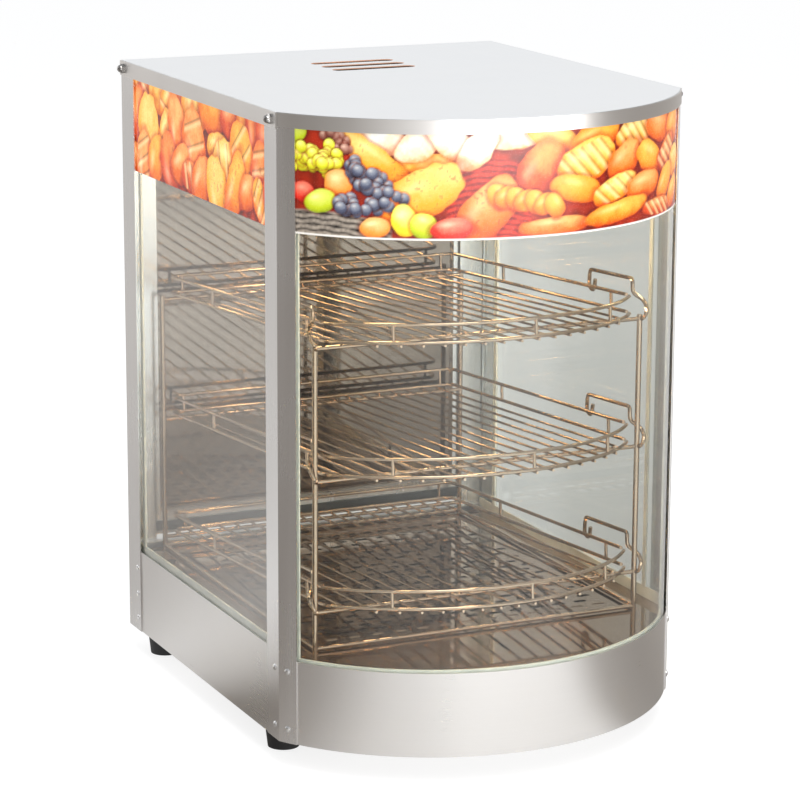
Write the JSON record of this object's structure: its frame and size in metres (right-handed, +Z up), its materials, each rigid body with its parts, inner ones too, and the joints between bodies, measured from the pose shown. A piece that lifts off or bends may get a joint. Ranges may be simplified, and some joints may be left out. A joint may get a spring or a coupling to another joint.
{
  "type": "hot food display case",
  "caption": "Countertop heated display case with a curved glass front, glass sides, tilted chrome wire shelves and a hinged rear door.",
  "frame": {"origin": "centre of the bounding box in plan, at the underside of the feet", "axes": "+Z up, the curved glass front faces -Y, the door is at +Y, +X to the right seen from the front"},
  "size_m": [0.4258, 0.571, 0.61],
  "materials": {
    "frame_steel": "satin",
    "panel_steel": "satin",
    "top_steel": "satin",
    "inner_steel": "satin",
    "deck_steel": "polished",
    "mirror_steel": "polished",
    "chrome_wire": "polished",
    "case_glass": "clear",
    "printed_band": "gloss",
    "pale_seal": "satin",
    "dark_gasket": "matte",
    "foot_rubber": "matte",
    "black_plastic": "matte",
    "handle_plastic": "satin",
    "red_rocker": "gloss",
    "green_rocker": "gloss",
    "amber_lens": "gloss",
    "thermostat_case": "matte",
    "copper_sensor": "polished",
    "holder_white": "gloss",
    "lamp_glass": "frosted",
    "element_metal": "matte",
    "magnet_case": "matte",
    "bright_metal": "polished"
  },
  "bodies": {
    "case": {"post_front_left": "frame_steel", "post_front_right": "frame_steel", "post_rear_left": "frame_steel", "post_rear_right": "frame_steel", "side_rail_left": "frame_steel", "side_rail_right": "frame_steel", "front_rail": "frame_steel", "rear_rail": "frame_steel", "top_panel": "top_steel", "ceiling_liner": "inner_steel", "front_glass": "case_glass", "side_glass_left": "case_glass", "side_glass_right": "case_glass", "front_graphic": "printed_band", "side_graphic_left": "printed_band", "side_graphic_right": "printed_band", "glass_seals": "pale_seal", "base_side_left": "panel_steel", "base_side_right": "panel_steel", "front_skirt": "panel_steel", "control_panel": "panel_steel", "bottom_plate": "inner_steel", "deck_plate": "deck_steel", "slotted_cover": "deck_steel", "water_pan": "inner_steel", "heating_element": "element_metal", "lamp_holders": "holder_white", "lamps": "lamp_glass", "rack_frame": "chrome_wire", "rack_arms": "chrome_wire", "thermostat_body": "thermostat_case", "thermostat_sensor": "copper_sensor", "switch_bodies": "black_plastic", "indicator_lamp": "amber_lens", "cable_gland": "black_plastic", "terminal_block": "holder_white", "hinge_leaves_fixed": "inner_steel", "hinge_pins": "bright_metal", "door_magnet": "magnet_case", "dome_nuts": "bright_metal", "corner_screws": "inner_steel", "rivets": "bright_metal", "feet": "foot_rubber", "foot_screws": "inner_steel"},
    "door": {"door_frame": "frame_steel", "door_panel": "mirror_steel", "door_gasket": "dark_gasket", "door_handle": "handle_plastic", "hinge_leaves_door": "inner_steel", "door_strike": "inner_steel"},
    "thermostat_dial": {"thermostat_knob": "black_plastic", "thermostat_shaft": "inner_steel"},
    "power_key": {"power_rocker": "red_rocker"},
    "light_key": {"light_rocker": "green_rocker"},
    "lower_shelf": {"shelf_bottom": "chrome_wire", "guard_bottom": "chrome_wire"},
    "centre_shelf": {"shelf_middle": "chrome_wire", "guard_middle": "chrome_wire"},
    "upper_shelf": {"shelf_top": "chrome_wire", "guard_top": "chrome_wire"}
  },
  "joints": [
    {"name": "door_swing", "type": "hinge", "parent": "case", "child": "door", "pos_m": [0.1982, 0.2521, 0.354], "axis": [0, 0, -1], "range_deg": [0, 120]},
    {"name": "thermostat_turn", "type": "hinge", "parent": "case", "child": "thermostat_dial", "pos_m": [-0.11, 0.24, 0.069], "axis": [0, -1, 0], "range_deg": [0, 270]},
    {"name": "power_rock", "type": "hinge", "parent": "case", "child": "power_key", "pos_m": [-0.03, 0.2338, 0.069], "axis": [1, 0, 0], "range_deg": [-20, 0]},
    {"name": "light_rock", "type": "hinge", "parent": "case", "child": "light_key", "pos_m": [0.01, 0.2338, 0.069], "axis": [1, 0, 0], "range_deg": [-20, 0]},
    {"name": "lower_shelf_lift", "type": "slide", "parent": "case", "child": "lower_shelf", "axis": [0, 0, 1], "range_m": [0, 0.02]},
    {"name": "centre_shelf_lift", "type": "slide", "parent": "case", "child": "centre_shelf", "axis": [0, 0, 1], "range_m": [0, 0.02]},
    {"name": "upper_shelf_lift", "type": "slide", "parent": "case", "child": "upper_shelf", "axis": [0, 0, 1], "range_m": [0, 0.02]}
  ]
}
